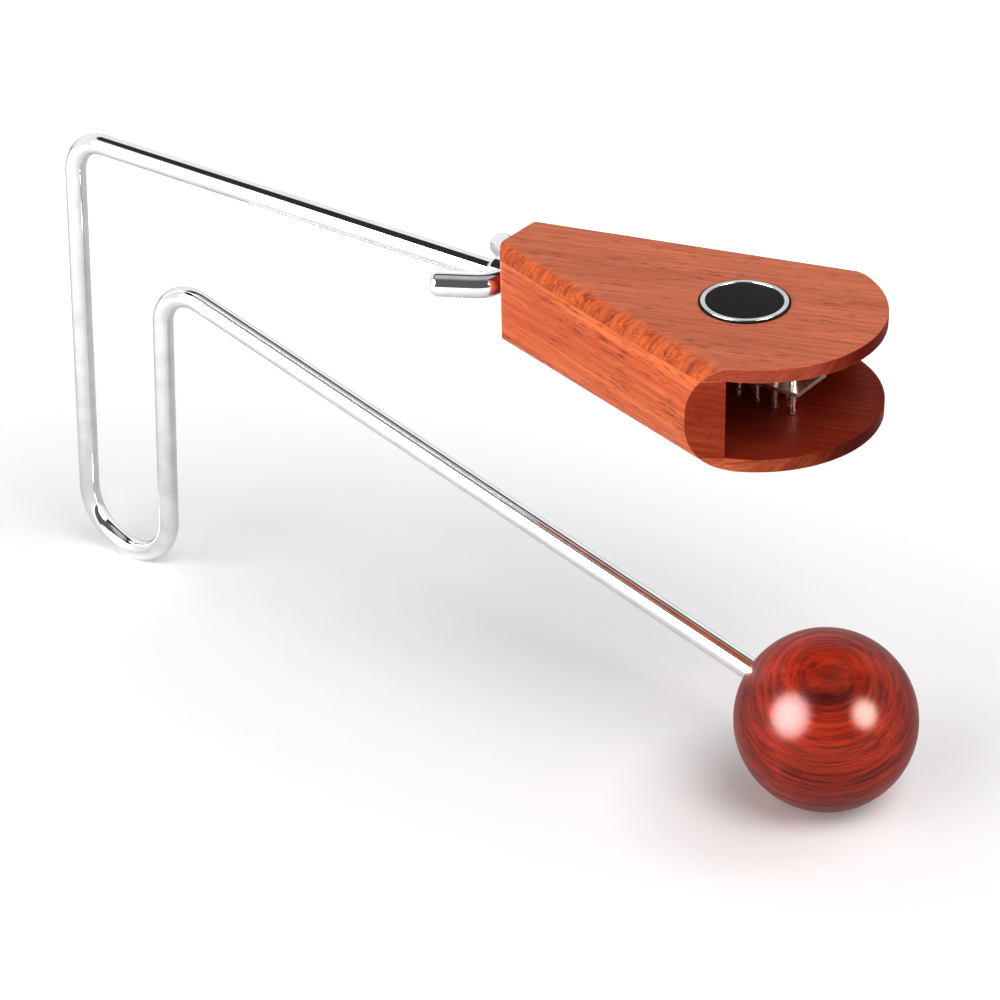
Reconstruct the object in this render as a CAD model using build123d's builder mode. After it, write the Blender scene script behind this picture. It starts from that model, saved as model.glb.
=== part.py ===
from build123d import *
from math import cos, hypot, radians, sin, tan
import os

os.makedirs("parts", exist_ok=True)

# A vibraslap: a bent steel rod joins a hardwood ball to a wedge-shaped sound box with loose rivets in it.
# Millimetres. X runs along the upper arm towards the box's mouth, Y across it and Z up.
# The origin is the middle of the handle's outer leg, where the hand holds the rod.

# Bent rod, measured along its centre line between the corners
rod_diameter = 6.35
upper_arm_length = 167.9
outer_leg_length = 125.8
inner_leg_length = 89.3
lower_arm_length = 248.0
leg_lean = 4.0
arm_drop = 15.5
handle_bend_radius = 17.2
corner_bend_radius = 13.0
rod_end_chamfer = 0.6

# Striking ball
ball_diameter = 50.8
rod_depth_in_ball = 20.0

# Sound box
box_length = 89.2
box_height = 29.8
plate_thickness = 3.9
narrow_half_width = 10.2
mouth_half_width = 41.6
chamber_narrow_half_width = 4.4
chamber_mouth_half_width = 32.3
narrow_edge_width = 3.5
narrow_edge_depth = 4.0
mouth_edge_width = 11.7
mouth_edge_depth = 14.4
narrow_corner_radius = 5.5
narrow_corner_flare = 4.0
wall_end_angle = 37.0
end_block_length = 14.0
tongue_setback = 12.8

# Badge on the top plate
badge_diameter = 24.2
badge_height = 0.5
badge_border = 0.6
badge_ring_width = 1.2
badge_ring_height = 0.2
badge_edge_round = 0.1
badge_setback = 15.8

# Rattle: a cranked steel strip and two rows of loose rivets, the second row a rivet shorter
strip_width = 14.0
strip_thickness = 1.2
strip_stand_out = 5.4
strip_drop = 2.4
strip_tab_height = 7.0
crank_length = 6.0
rivet_shank_diameter = 2.1
rivet_head_diameter = 4.4
rivet_head_height = 1.6
rivet_head_round = 1.2
rivet_lift = 6.0
rivet_row_spacing = 6.6
rivet_pitch = 5.6
rivets_per_row = 7
rivet_edge_margin = 3.7

# Fastenings at the box
wing_hub_wall = 1.8
wing_hub_length = 8.5
wing_hub_round = 1.5
wing_bar_diameter = 7.0
wing_root_length = 4.0
wing_bar_length = 12.9
wing_bend_radius = 6.0
wing_end_round = 1.8
wing_sweep_angle = 60.0
washer_rim = 3.1
washer_thickness = 1.5
nut_wall = 2.38
nut_height = 5.56
rod_end_stand_out = 2.0

# Clearances, and how far a cut runs past the wood
cut_margin = 2.0
running_clearance = 0.05
glue_clearance = 0.02
rivet_clearance = 0.1
seat_gap = 0.15
rest_gap = 0.3

# Corner points of the rod's centre line, in the XZ plane
leg_down = Vector(-sin(radians(leg_lean)), -cos(radians(leg_lean)))
across_handle = Vector(cos(radians(leg_lean)), -sin(radians(leg_lean)))
arm_direction = Vector(cos(radians(arm_drop)), -sin(radians(arm_drop)))
upper_corner = leg_down * (-outer_leg_length / 2)
handle_start = leg_down * (outer_leg_length / 2)
handle_end = handle_start + across_handle * (2 * handle_bend_radius)
lower_corner = handle_end - leg_down * inner_leg_length
ball_point = lower_corner + arm_direction * lower_arm_length
ball_centre = Vector(ball_point.X, 0, ball_point.Y)
ball_axis = Vector(arm_direction.X, 0, arm_direction.Y)

# Places along the upper arm
arm_height = upper_corner.Y
box_start = upper_corner.X + upper_arm_length
box_end = box_start + box_length
block_end = box_start + end_block_length
tab_front = block_end + strip_thickness
washer_start = tab_front + seat_gap
nut_start = washer_start + washer_thickness
rod_end = nut_start + nut_height + rod_end_stand_out
hub_front = box_start - seat_gap

# Levels of the box
core_height = box_height - 2 * plate_thickness
floor_height = arm_height - core_height / 2
ceiling_height = arm_height + core_height / 2
top_height = arm_height + box_height / 2

# The box and its chamber widen evenly, and the walls end in a slanted cut
side_slope = (mouth_half_width - narrow_half_width) / box_length
chamber_slope = (chamber_mouth_half_width - chamber_narrow_half_width) / box_length
cut_x = box_end - mouth_half_width * cos(radians(wall_end_angle))
cut_y = chamber_mouth_half_width + mouth_half_width * sin(radians(wall_end_angle))

# The tongue is an arc through the inner corners of the walls
tongue_centre = box_length - tongue_setback
tongue_radius = hypot(tongue_setback, chamber_mouth_half_width)
tongue_section = tongue_centre + tongue_radius + plate_thickness

rod_bore_radius = rod_diameter / 2 + running_clearance
rod_fit_radius = rod_diameter / 2 + glue_clearance


def half_width(distance):
    return narrow_half_width + side_slope * distance


def chamber_half_width(distance):
    return chamber_narrow_half_width + chamber_slope * distance


def section_plane(distance):
    return Plane(origin=(box_start + distance, 0, arm_height), x_dir=(0, 1, 0), z_dir=(1, 0, 0))


def box_section(distance, edge_width, edge_depth):
    side = half_width(distance)
    flat = side - edge_width
    top = box_height / 2
    upright = top - edge_depth
    with BuildSketch(section_plane(distance)) as section:
        with BuildLine():
            Line((0, top), (flat, top))
            EllipticalCenterArc((flat, upright), edge_width, edge_depth, 0, arc_size=90)
            Line((side, upright), (side, -upright))
            EllipticalCenterArc((flat, -upright), edge_width, edge_depth, 270, arc_size=90)
            Line((flat, -top), (0, -top))
            mirror(about=Plane.YZ)
        make_face()
    return section.sketch


def save(builder, name):
    builder.part.label = name
    export_step(builder.part, f"parts/{name}.step")


# Steel rod, bent from one length: upper arm, outer leg, handle bend, inner leg, lower arm
upper_turn = 90 - leg_lean
lower_turn = upper_turn + arm_drop
upper_trim = corner_bend_radius * tan(radians(upper_turn / 2))
lower_trim = corner_bend_radius * tan(radians(lower_turn / 2))
rod_in_ball = lower_arm_length - ball_diameter / 2 + rod_depth_in_ball

with BuildPart() as steel_rod:
    with BuildLine(Plane.XZ) as rod_path:
        upper_arm = Line((rod_end, arm_height), (upper_corner.X + upper_trim, arm_height))
        upper_bend = JernArc(upper_arm @ 1, upper_arm % 1, corner_bend_radius, upper_turn)
        outer_leg = PolarLine(upper_bend @ 1, outer_leg_length - upper_trim, direction=upper_bend % 1)
        handle_bend = JernArc(outer_leg @ 1, outer_leg % 1, handle_bend_radius, 180)
        inner_leg = PolarLine(handle_bend @ 1, inner_leg_length - lower_trim, direction=handle_bend % 1)
        lower_bend = JernArc(inner_leg @ 1, inner_leg % 1, corner_bend_radius, -lower_turn)
        lower_arm = PolarLine(lower_bend @ 1, rod_in_ball - lower_trim, direction=lower_bend % 1)
    with BuildSketch(Plane(origin=rod_path.line @ 0, z_dir=rod_path.line % 0)):
        Circle(rod_diameter / 2)
    sweep()
    chamfer(steel_rod.faces().sort_by(Axis.X)[-1].edges(), rod_end_chamfer)
save(steel_rod, "steel_rod")

# Turned ball with a blind bore for the rod
with BuildPart(Plane(origin=ball_centre, z_dir=ball_axis)) as ball:
    Sphere(ball_diameter / 2)
    with Locations((0, 0, rod_depth_in_ball - ball_diameter / 2 + rest_gap)):
        Cylinder(
            rod_fit_radius,
            ball_diameter,
            align=(Align.CENTER, Align.CENTER, Align.MAX),
            mode=Mode.SUBTRACT,
        )
save(ball, "ball")

# Outside of the sound box: its long edges are rounded more and more towards the mouth
with BuildPart() as rounded_wedge:
    loft(
        sections=[
            box_section(-cut_margin, narrow_edge_width, narrow_edge_depth),
            box_section(box_length, mouth_edge_width, mouth_edge_depth),
            box_section(tongue_section, mouth_edge_width, mouth_edge_depth),
        ],
        ruled=True,
    )

with BuildPart() as envelope:
    with BuildSketch(Plane.XY.offset(floor_height - plate_thickness - cut_margin)) as plan:
        plan_end = tongue_section + cut_margin
        plan_side = half_width(plan_end) + narrow_corner_flare
        with BuildLine():
            Polyline(
                (box_start, -half_width(0)),
                (box_start + plan_end, -plan_side),
                (box_start + plan_end, plan_side),
                (box_start, half_width(0)),
                close=True,
            )
        make_face()
        fillet(plan.vertices().group_by(Axis.X)[0], narrow_corner_radius)
    extrude(amount=box_height + 2 * cut_margin)
    add(rounded_wedge.part, mode=Mode.INTERSECT)

# Top and bottom plates, which run on past the walls in a round tongue
bottom_level = floor_height - plate_thickness - cut_margin
plate_levels = {"top_plate": ceiling_height, "bottom_plate": bottom_level}
for plate_name, plate_level in plate_levels.items():
    with BuildPart() as plate:
        with BuildSketch(Plane.XY.offset(plate_level)):
            with BuildLine():
                Polyline(
                    (box_start - cut_margin, -cut_y),
                    (cut_x, -cut_y),
                    (box_end, -chamber_mouth_half_width),
                    (box_end, chamber_mouth_half_width),
                    (cut_x, cut_y),
                    (box_start - cut_margin, cut_y),
                    close=True,
                )
            make_face()
            with Locations((box_start + tongue_centre, 0)):
                Circle(tongue_radius)
        extrude(amount=plate_thickness + cut_margin)
        add(envelope.part, mode=Mode.INTERSECT)
    save(plate, plate_name)

# Side walls between the plates
for wall_name, side in {"right_wall": -1, "left_wall": 1}.items():
    with BuildPart() as wall:
        with BuildSketch(Plane.XY.offset(floor_height)):
            with BuildLine():
                Polyline(
                    (box_start - cut_margin, side * chamber_half_width(-cut_margin)),
                    (box_end, side * chamber_mouth_half_width),
                    (cut_x, side * cut_y),
                    (box_start - cut_margin, side * cut_y),
                    close=True,
                )
            make_face()
        extrude(amount=core_height)
        add(envelope.part, mode=Mode.INTERSECT)
    save(wall, wall_name)

# End block between the walls, bored for the rod
with BuildPart() as end_block:
    with BuildSketch(Plane.XY.offset(floor_height)):
        with BuildLine():
            Polyline(
                (box_start - cut_margin, -chamber_half_width(-cut_margin)),
                (block_end, -chamber_half_width(end_block_length)),
                (block_end, chamber_half_width(end_block_length)),
                (box_start - cut_margin, chamber_half_width(-cut_margin)),
                close=True,
            )
        make_face()
    extrude(amount=core_height)
    add(envelope.part, mode=Mode.INTERSECT)
    with BuildSketch(section_plane(-cut_margin)):
        Circle(rod_bore_radius)
    extrude(amount=end_block_length + 2 * cut_margin, mode=Mode.SUBTRACT)
save(end_block, "end_block")

# Badge on the top plate: a bare dark disc with a bright ring on it
badge_plane = Plane(origin=(box_end - badge_setback, 0, top_height))
ring_radius = badge_diameter / 2 - badge_border

with BuildPart(badge_plane) as badge_disc:
    Cylinder(badge_diameter / 2, badge_height, align=(Align.CENTER, Align.CENTER, Align.MIN))
    fillet(badge_disc.faces().sort_by(Axis.Z)[-1].edges(), badge_edge_round)
save(badge_disc, "badge_disc")

with BuildPart() as badge_ring:
    with BuildSketch(badge_plane.offset(badge_height)):
        Circle(ring_radius)
        Circle(ring_radius - badge_ring_width, mode=Mode.SUBTRACT)
    extrude(amount=badge_ring_height)
    fillet(badge_ring.faces().sort_by(Axis.Z)[-1].edges(), badge_edge_round)
save(badge_ring, "badge_ring")

# Rivet strip: a tab on the rod, a level under the nut, a crank up and a long leaf with two rows of holes
nut_across_flats = rod_diameter + 2 * nut_wall
nut_corner_radius = nut_across_flats / 2 / cos(radians(30))
tail_level = arm_height - nut_corner_radius - rest_gap - strip_thickness
leaf_level = arm_height - strip_drop - strip_thickness
crank_start = rod_end + strip_thickness
crank_end = crank_start + crank_length
strip_end = box_end + strip_stand_out
row_front = strip_end - rivet_edge_margin
rivet_spots = [
    (row_front - rivet_pitch * (place + row), rivet_row_spacing * (row - 0.5))
    for row in range(2)
    for place in range(rivets_per_row - row)
]

with BuildPart() as rivet_strip:
    with BuildSketch(Plane.XZ.offset(-strip_width / 2)):
        with BuildLine():
            Polyline(
                (block_end, arm_height + strip_tab_height),
                (tab_front, arm_height + strip_tab_height),
                (tab_front, tail_level + strip_thickness),
                (crank_start, tail_level + strip_thickness),
                (crank_end, leaf_level + strip_thickness),
                (strip_end, leaf_level + strip_thickness),
                (strip_end, leaf_level),
                (crank_end, leaf_level),
                (crank_start, tail_level),
                (block_end, tail_level),
                close=True,
            )
        make_face()
    extrude(amount=strip_width)
    with BuildSketch(section_plane(end_block_length)):
        Circle(rod_bore_radius)
    extrude(amount=strip_thickness, mode=Mode.SUBTRACT)
    with BuildSketch(Plane.XY.offset(leaf_level)):
        with Locations(*rivet_spots):
            Circle(rivet_shank_diameter / 2 + rivet_clearance)
    extrude(amount=strip_thickness, mode=Mode.SUBTRACT)
save(rivet_strip, "rivet_strip")

# Loose rivets, each standing on the floor of the box with room to jump before its head meets the ceiling
rivet_foot = floor_height + seat_gap
rivet_top = ceiling_height - rest_gap - rivet_lift
shank_length = rivet_top - rivet_head_height - rivet_foot
for number, (spot_x, spot_y) in enumerate(rivet_spots, start=1):
    rivet_name = f"rivet_{number:02d}"
    with BuildPart(Plane((spot_x, spot_y, rivet_foot))) as rivet:
        Cylinder(rivet_shank_diameter / 2, shank_length, align=(Align.CENTER, Align.CENTER, Align.MIN))
        with Locations((0, 0, shank_length)):
            Cylinder(
                rivet_head_diameter / 2,
                rivet_head_height,
                align=(Align.CENTER, Align.CENTER, Align.MIN),
            )
        fillet(rivet.faces().sort_by(Axis.Z)[-1].edges(), rivet_head_round)
    save(rivet, rivet_name)

# Wing nut: a tapped hub with two bent bars swept back along the rod
with BuildPart() as wing_nut:
    with BuildSketch(section_plane(-seat_gap)):
        Circle(rod_bore_radius + wing_hub_wall)
    extrude(amount=-wing_hub_length)
    fillet(wing_nut.faces().sort_by(Axis.X)[0].edges(), wing_hub_round)
    for side in (-1, 1):
        bar_start = (hub_front - wing_hub_length / 2, 0)
        bend_start = (hub_front - wing_hub_length / 2, side * wing_root_length)
        with BuildLine(Plane.XY.offset(arm_height)) as bar_path:
            root = Line(bar_start, bend_start)
            bend = JernArc(root @ 1, root % 1, wing_bend_radius, side * wing_sweep_angle)
            bar = PolarLine(bend @ 1, wing_bar_length, direction=bend % 1)
        with BuildSketch(Plane(origin=bar_path.line @ 0, z_dir=bar_path.line % 0)):
            Circle(wing_bar_diameter / 2)
        sweep(path=bar_path.line)
    bar_ends = wing_nut.faces().filter_by(GeomType.PLANE).sort_by(Axis.X)[:2]
    fillet(bar_ends.edges(), wing_end_round)
    with BuildSketch(section_plane(0)):
        Circle(rod_bore_radius)
    extrude(amount=-2 * wing_hub_length, mode=Mode.SUBTRACT)
save(wing_nut, "wing_nut")

# Washer and nut that hold the box on the rod's end from inside
with BuildPart() as lock_washer:
    with BuildSketch(section_plane(washer_start - box_start)):
        Circle(rod_diameter / 2 + washer_rim)
        Circle(rod_fit_radius, mode=Mode.SUBTRACT)
    extrude(amount=washer_thickness)
save(lock_washer, "lock_washer")

with BuildPart() as clamp_nut:
    with BuildSketch(section_plane(nut_start - box_start)):
        RegularPolygon(nut_across_flats / 2, 6, major_radius=False)
        Circle(rod_fit_radius, mode=Mode.SUBTRACT)
    extrude(amount=nut_height)
save(clamp_nut, "clamp_nut")
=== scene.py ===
"""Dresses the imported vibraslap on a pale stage.

Bent rod, striking ball, sound box, badge, rattle and fastenings. Lengths are in metres.
"""

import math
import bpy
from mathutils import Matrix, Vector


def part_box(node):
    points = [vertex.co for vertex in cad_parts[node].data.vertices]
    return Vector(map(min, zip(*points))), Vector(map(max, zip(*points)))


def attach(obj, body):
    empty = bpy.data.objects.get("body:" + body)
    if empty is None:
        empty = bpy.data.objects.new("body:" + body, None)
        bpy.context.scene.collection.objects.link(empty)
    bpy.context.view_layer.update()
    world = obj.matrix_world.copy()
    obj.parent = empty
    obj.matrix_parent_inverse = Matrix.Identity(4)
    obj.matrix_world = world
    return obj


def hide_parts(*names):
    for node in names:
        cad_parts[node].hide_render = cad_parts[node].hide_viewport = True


bl_info = {
    "name": "Vibraslap",
    "version": (1, 0, 0),
    "blender": (4, 5, 0),
    "location": "View3D > Sidebar > Vibraslap",
    "description": "Builds a vibraslap's rod, ball, sound box and rattle with their finishes",
    "category": "Add Mesh",
}

import bmesh
import bpy
from bpy.props import FloatProperty, FloatVectorProperty, PointerProperty
from bpy.types import Operator, Panel, PropertyGroup
from mathutils import Matrix, Vector

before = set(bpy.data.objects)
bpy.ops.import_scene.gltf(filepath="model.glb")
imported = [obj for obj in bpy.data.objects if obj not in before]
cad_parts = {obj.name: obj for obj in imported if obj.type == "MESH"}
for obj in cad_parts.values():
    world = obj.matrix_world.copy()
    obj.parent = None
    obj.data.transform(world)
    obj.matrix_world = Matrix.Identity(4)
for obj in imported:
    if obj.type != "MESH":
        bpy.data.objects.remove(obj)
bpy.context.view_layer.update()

# Fineness of the meshes
TUBE_SIDES = 48
RIVET_SIDES = 32
TURNED_SIDES = 96
BEND_STEPS = 28
ROUND_STEPS = 8
RING_MARGIN = 0.0004
SMOOTH_ANGLE = math.radians(38)
EDGE_ANGLE = math.radians(45)
FLAT_ANGLE = math.radians(0.2)
MERGE_DISTANCE = 1e-6
QUARTER_TURN = math.pi / 2
FULL_TURN = 2 * math.pi

# Patterns in the wood: their sizes along the fibres, across the layers and along the layers
DRIFT_GRAIN = (0.16, 0.011, 0.02)
STREAK_GRAIN = (0.03, 0.0007, 0.004)
FIBRE_GRAIN = (0.010, 0.00028, 0.00035)
VESSEL_GRAIN = (0.0052, 0.00046, 0.00052)
GROUP_GRAIN = (0.03, 0.004, 0.008)
STROKE_GRAIN = (0.007, 0.0017, 0.004)
LAYER_RUN = 0.055
LAYER_BREADTH = 9

# Patterns in the wood: the noise that counts, and how strongly it shows
WHOLE = (0.0, 1.0)
FADING = (1.0, 0.0)
MIDDLE_NOISE = (0.3, 0.7)
LAYER_NOISE = (0.36, 0.64)
LAYER_SHARE = 0.62
DRIFT_SHARE = 0.38
FIBRE_TINT = 0.42
STREAK_NOISE = (0.54, 0.68)
STREAK_TINT = 0.6
GROUP_SHARE = 0.30
PORE_NOISE = (0.76, 0.86)
PORE_TINT = 0.6
SPECKLE_NOISE = (0.50, 0.70)
SPECKLE_TINT = 0.5
STROKE_NOISE = (0.36, 0.58)
STROKE_RAGGED = 0.12
WOOD_ROUGHNESS = (0.34, 0.48)
FIBRE_RELIEF_NOISE = (0.2, 0.8)
FIBRE_RELIEF = 0.25
WOOD_BUMP = 0.35
PORE_DEPTH = 0.00012
WOOD_SHINE = 0.025
BALL_SHINE = 0.04

# Faces of the boards, by how far they turn to the fibres' ends or upwards
END_GRAIN_FACES = (0.58, 0.90)
ROUNDED_FACES = (0.20, 0.34)
ROUNDED_FIGURE = 0.9
UPWARD_FACES = (0.02, 0.2)
OUTER_FACES = (0.2, 0.5)
# Upright faces, which the top plate darkens as painted shade
PAINTED_SHADE_UPRIGHT_FACES = (0.02, 0.15)

# How the boards were sawn: along the fibres, and across the growth layers
BALL_FIBRE = (0.79, 0.61, 0.05)
BALL_LAYERS = (0.278, -0.359, 0.891)
BALL_LAYER = 0.0011
PLATE_FIBRE = (0.945, 0.327, 0.0)
PLATE_LAYERS = (-0.283, 0.82, -0.5)
PLATE_LAYER = 0.0012
WALL_FIBRE = (0.94, 0.33, 0.03)
WALL_LAYERS = (0.0, 0.3, 0.95)
WALL_LAYER = 0.0016
FIGURE_FALL = (-0.276, -0.65, -0.707)
FIGURE_RUN = (0.92, -0.39, 0.0)

# Metal and enamel
HAZE_SIZE = 8
HAZE_NOISE = (0.35, 0.7)
DULLED = 0.86
MARK_SHARE = 0.6
WORN_NOISE = (0.55, 1.05)
MARK_DEPTH = 0.00005
ALL_ROUND = (1.0, 1.0, 1.0)
BRUSHED_ALONG = (30.0, 1.0, 1.0)
SKIN_SIZE = 0.0011
DUST_SIZE = 0.00018
DUST_NOISE = (0.6, 0.8)
DUST_TINT = 2.2
ENAMEL_ROUGHNESS = (0.38, 0.5)
ENAMEL_SHINE = 0.02
ENAMEL_BUMP = 0.05
SKIN_DEPTH = 0.0001
HALFWAY_RISE = 0.75

# Light, floor and surround
WHITE = (1, 1, 1, 1)
LAMP_AIM = (0.16, 0.0, 0.0)
LAMP_REACH = 2.0
LEFT_LIGHT = (-0.34, -0.835, 0.43)
RIGHT_LIGHT = (0.872, -0.007, 0.49)
OVERHEAD_LIGHT = (0.60, -0.22, 1.0)
LEFT_GLOW = (80.0, 80.0, 80.0, 1.0)
LEFT_GLOW_EDGE = (0.875, 0.99)
RIGHT_GLOW = (88.0, 80.0, 68.0, 1.0)
RIGHT_GLOW_EDGE = (0.945, 0.995)
FRONT_SIDE = (0.5245, -0.6771, 0.5164)
FRONT_EDGE = (0.55, 0.8)
FRONT_GREY = (0.12, 0.12, 0.12, 1)
ROOM_BANDS = ((0.67, 1.0), (0.71, 0.03), (0.86, 0.03), (0.90, 0.55))
ROOM_LIGHT = 0.22
FLOOR_CLOUD = 0.4
FLOOR_PALER = 1.02
FLOOR_ROUGHNESS = 0.9
# Seen in mirrors alone, the floor glows more towards the front: painted reflection on the polished metal
PAINTED_REFLECTION_LIFT = 0.9
PAINTED_REFLECTION_BACK_TO_FRONT = (0.03, -0.1)
SENSOR_WIDTH = 36.0
CLIP_START = 0.01
CLIP_END = 50.0


# Places taken from the frame


def middle(node):
    low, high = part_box(node)
    return (low + high) / 2


ARM_HEIGHT = middle("end_block").z
BALL_CENTRE = middle("ball")
BALL_RADIUS = (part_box("ball")[1].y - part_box("ball")[0].y) / 2
RIVETS = sorted(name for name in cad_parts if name.startswith("rivet_") and name != "rivet_strip")


# Sizes and colours


def length(name, description, default):
    return FloatProperty(
        name=name, description=description, default=default, min=0.0, precision=5, unit="LENGTH"
    )


def offset(name, description, default):
    return FloatVectorProperty(
        name=name, description=description, default=default, size=3, precision=5, unit="LENGTH"
    )


def ratio(name, description, default):
    return FloatProperty(name=name, description=description, default=default, min=0.0)


def angle(name, description, degrees):
    return FloatProperty(name=name, description=description, default=math.radians(degrees), subtype="ANGLE")


def colour(name, description, default):
    return FloatVectorProperty(
        name=name, description=description, default=default, size=3, min=0.0, max=1.0, subtype="COLOR"
    )


class RodSettings(PropertyGroup):
    diameter: length("Diameter", "Thickness of the bent rod", 0.00635)
    outer_leg: length("Outer leg", "From the upper corner to the handle bend", 0.1258)
    inner_leg: length("Inner leg", "From the handle bend to the lower corner", 0.0893)
    lower_arm: length("Lower arm", "From the lower corner to the ball's centre", 0.248)
    lean: angle("Lean", "Lean of both legs from upright", 4.0)
    drop: angle("Drop", "Fall of the lower arm towards the ball", 15.5)
    handle_radius: length("Handle bend", "Centre-line radius of the handle bend", 0.0172)
    corner_radius: length("Corner bend", "Centre-line radius of the two corners", 0.013)
    end_chamfer: length("End chamfer", "Chamfer at the threaded end", 0.0006)
    stand_out: length("Stand-out", "Threaded end that shows past the nut", 0.002)
    depth_in_ball: length("Depth in the ball", "Length of rod inside the ball", 0.02)
    thread_pitch: length("Thread pitch", "Distance between the ridges of the thread", 0.00127)
    thread_depth: length("Thread depth", "Depth of the thread's grooves", 0.00045)
    threaded: length("Threaded length", "Length of thread at the box end", 0.0325)
    polish: colour("Polish", "Colour of the bright plating", (0.88, 0.88, 0.90))


class BallSettings(PropertyGroup):
    bore_clearance: length("Bore clearance", "Glue line round the rod", 0.00002)
    countersink: length("Countersink", "Broken edge of the bore", 0.0004)
    light: colour("Light wood", "Pale layers of the turned ball", (0.65, 0.046, 0.016))
    dark: colour("Dark wood", "Deep layers of the turned ball", (0.03, 0.001, 0.001))
    end_grain_and_shade_tone: colour("End grain", "Tint of wood cut across the fibres", (0.62, 0.50, 0.50))


class BoxSettings(PropertyGroup):
    board_round: length("Board edge", "Rounding of the boards' sawn edges", 0.0004)
    # Past the walls' end the lower plate's outer faces fade into its darkened tones: painted shade on the
    # lower tongue
    outer_lead: length("Outer wood, start", "Before the wall's end, where outer wood starts to fade", 0.005)
    outer_fade: length("Outer wood, end", "Past the wall's end, where outer wood has faded out", 0.024)
    seam_round: length("Wall edge", "Rounding of the walls' glued edges", 0.00025)
    plate_light: colour("Plate, light", "Pale layers of the plates", (0.75, 0.212, 0.108))
    plate_dark: colour("Plate, dark", "Deep layers of the plates", (0.45, 0.110, 0.057))
    # Tones of the lower plate, darkened to stand for the shade inside the box: painted shade
    inner_light_painted_shade: colour("Inside, light", "Pale layers of the lower plate", (0.21, 0.024, 0.009))
    inner_dark_painted_shade: colour("Inside, dark", "Deep layers of the lower plate", (0.11, 0.008, 0.003))
    figure_light: colour("Figure, light", "Pale figure where the plates are rounded", (0.86, 0.155, 0.031))
    figure_dark: colour("Figure, dark", "Deep figure where the plates are rounded", (0.24, 0.020, 0.006))
    wall_light: colour("Wall, light", "Pale layers of the walls", (1.0, 0.262, 0.092))
    wall_dark: colour("Wall, dark", "Deep layers of the walls", (0.60, 0.082, 0.036))
    # The box's end tone is darker end grain, darkened further as painted shade on the end faces turned from
    # the light
    end_grain_and_shade_tone: colour("End grain", "Tint of wood cut across the fibres", (0.27, 0.045, 0.05))
    # Darkening of the top plate's upright faces: painted shade
    painted_edge_shade: colour("Painted edge shade", "Tint of the plates' upright edges", (0.76, 0.48, 0.46))
    pore: colour("Pores", "Colour inside the pores", (0.13, 0.022, 0.012))


class BadgeSettings(PropertyGroup):
    dome: length("Dome", "Rise of the dark disc's middle", 0.00012)
    ring_width: length("Ring width", "Width of the bright ring", 0.0012)
    edge_round: length("Edge round", "Rounding of the disc and the ring", 0.0001)
    enamel: colour("Enamel", "Colour of the dark disc", (0.007, 0.007, 0.008))
    silver: colour("Silver", "Colour of the bright ring", (0.64, 0.64, 0.63))


class RattleSettings(PropertyGroup):
    shank: length("Shank", "Diameter of a rivet's shank", 0.0021)
    head_height: length("Head height", "Height of a rivet's head", 0.0016)
    head_round: length("Head round", "Rounding of a rivet's head", 0.0012)
    foot_chamfer: length("Foot chamfer", "Chamfer at a rivet's foot", 0.0002)
    strip_round: length("Strip edge", "Rounding of the strip's edges", 0.00015)
    strip: colour("Strip", "Colour of the spring strip", (0.62, 0.61, 0.59))
    rivet: colour("Rivets", "Colour of the loose rivets", (0.74, 0.71, 0.66))


class FasteningSettings(PropertyGroup):
    hub_clearance: length("Hub clearance", "Running clearance of the wing nut on the rod", 0.00005)
    hub_wall: length("Hub wall", "Wall of the wing nut's hub", 0.0018)
    hub_length: length("Hub length", "Length of the wing nut's hub", 0.0085)
    hub_round: length("Hub round", "Rounding at the hub's back", 0.0015)
    hub_chamfer: length("Hub chamfer", "Chamfer at the hub's seat", 0.0004)
    bar_diameter: length("Bar diameter", "Thickness of the wings", 0.007)
    bar_start: length("Bar root", "Where a wing starts inside the hub's wall", 0.0036)
    root_length: length("Root length", "Straight root of a wing", 0.004)
    bend_radius: length("Wing bend", "Centre-line radius of a wing's bend", 0.006)
    bar_length: length("Bar length", "Straight end of a wing", 0.0129)
    end_round: length("End round", "Rounding of a wing's end", 0.0018)
    sweep: angle("Sweep", "Turn of the wings back along the rod", 60.0)
    nut_round: length("Nut edge", "Rounding of the nut and washer", 0.0003)
    zinc: colour("Zinc", "Colour of the nut and washer", (0.66, 0.65, 0.61))


class StageSettings(PropertyGroup):
    azimuth: angle("Azimuth", "Turn of the camera round the object", 37.765)
    elevation: angle("Elevation", "Height of the camera above the arm", 31.09)
    roll: angle("Roll", "Turn of the picture about its centre", -1.367)
    distance: length("Distance", "From the camera to its target", 0.89918)
    lens: FloatProperty(
        name="Lens", description="Focal length on a 36 mm sensor", default=112.49, unit="CAMERA"
    )
    target: offset("Target", "Point in the middle of the picture", (0.1639, 0.0, -0.01064))
    floor_width: length("Floor width", "Side of the square floor", 12.0)
    floor: colour("Floor", "Colour of the pale floor", (0.74, 0.74, 0.745))
    # The floor glows less round the middle of the object's shadow and not at all under the ball: painted
    # shadow over the lamps' own shadow
    lift_near: ratio("Lift, near", "Light of the floor by the object", 0.25)
    lift_far: ratio("Lift, far", "Light of the floor far from the object", 0.9)
    near: length("Near", "How far the near floor reaches from the middle of the shadow", 0.07)
    far: length("Far", "Where the far floor starts", 0.36)
    shadow_centre: offset("Shadow", "Middle of the object's shadow", (0.165, 0.01, -0.075))
    shadow_stretch: ratio("Shadow stretch", "Length of the shadow over its width", 2.0)
    contact_shift: offset("Contact", "From the ball's foot to its deepest shadow", (-0.017, -0.012, 0.0))
    contact_start: length("Contact start", "Reach of the deepest shadow under the ball", 0.01)
    contact_end: length("Contact end", "Where the shadow under the ball fades out", 0.042)


SETTINGS = {
    "rod": RodSettings,
    "ball": BallSettings,
    "box": BoxSettings,
    "badge": BadgeSettings,
    "rattle": RattleSettings,
    "fastening": FasteningSettings,
    "stage": StageSettings,
}


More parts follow.
